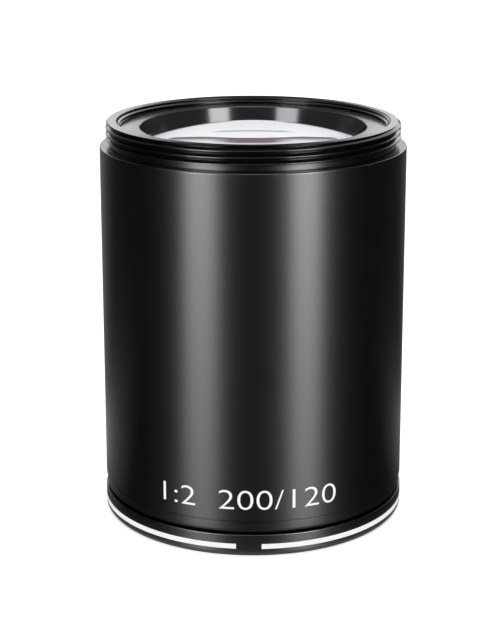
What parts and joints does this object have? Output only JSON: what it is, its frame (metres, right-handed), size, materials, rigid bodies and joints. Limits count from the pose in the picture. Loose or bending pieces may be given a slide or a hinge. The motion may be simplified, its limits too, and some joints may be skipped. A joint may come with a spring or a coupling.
{
  "type": "microscope objective",
  "caption": "Large low-power stereo microscope objective: black barrel with a mount thread on top, a domed rear lens in a conical retaining ring, a rounded collar and a banded nose ring.",
  "frame": {"origin": "on the optical axis, at the bottom of the nose ring's face, which is the part's lowest plane", "axes": "+Z along the optical axis from the nose towards the mount thread, -Y towards the gap in the white band at the front, +X to the right seen from the front"},
  "size_m": [0.0752, 0.0752, 0.0987],
  "materials": {
    "satin_black_anodised": "satin",
    "gloss_black_anodised": "gloss",
    "matt_black_anodised": "matte",
    "coated_glass": "polished",
    "brass_shim": "satin",
    "white_paint": "satin"
  },
  "bodies": {
    "root": {"main_barrel": "satin_black_anodised", "rear_retaining_ring": "gloss_black_anodised", "rear_cell": "matt_black_anodised", "rear_crown_lens": "coated_glass", "rear_flint_lens": "coated_glass", "rear_spacer_ring": "matt_black_anodised", "rear_meniscus_lens": "coated_glass", "focus_shim": "brass_shim", "middle_cell": "matt_black_anodised", "middle_retaining_ring": "matt_black_anodised", "middle_flint_lens": "coated_glass", "middle_crown_lens": "coated_glass", "glare_stop": "matt_black_anodised", "spacer_tube": "matt_black_anodised", "front_cell": "matt_black_anodised", "front_retaining_ring": "matt_black_anodised", "front_flint_lens": "coated_glass", "front_crown_lens": "coated_glass", "front_collar": "satin_black_anodised", "nose_ring": "satin_black_anodised", "white_band": "white_paint"}
  },
  "joints": []
}
